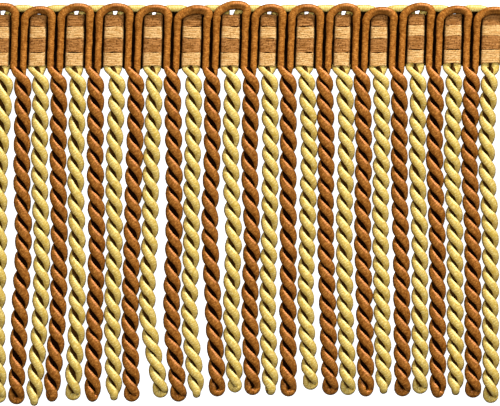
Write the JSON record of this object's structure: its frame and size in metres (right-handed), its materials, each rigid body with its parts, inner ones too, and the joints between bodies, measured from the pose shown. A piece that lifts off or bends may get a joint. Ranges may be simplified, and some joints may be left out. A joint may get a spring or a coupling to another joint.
{
  "type": "cord fringe trim",
  "caption": "Cut length of bullion fringe: alternating bronze and gold twisted cords with looped ends hang from a woven heading edged with small cord loops.",
  "frame": {"origin": "centre of the trim's length and height, on the flat side that it lies on", "axes": "+X along the heading, +Y from the hanging cords towards the heading's loops, +Z out of the face"},
  "size_m": [0.2078, 0.1536, 0.0058],
  "materials": {
    "bronze_gimp": "satin wound rayon cord",
    "gold_gimp": "satin wound rayon cord",
    "bronze_warp": "satin rayon yarn, woven",
    "gold_warp": "satin rayon yarn, woven"
  },
  "bodies": {
    "root": {"bronze_cord": "bronze_gimp", "gold_cord": "gold_gimp", "band_gold_lower": "gold_warp", "band_bronze_lower": "bronze_warp", "band_gold_upper": "gold_warp", "band_bronze_upper": "bronze_warp"}
  },
  "joints": []
}
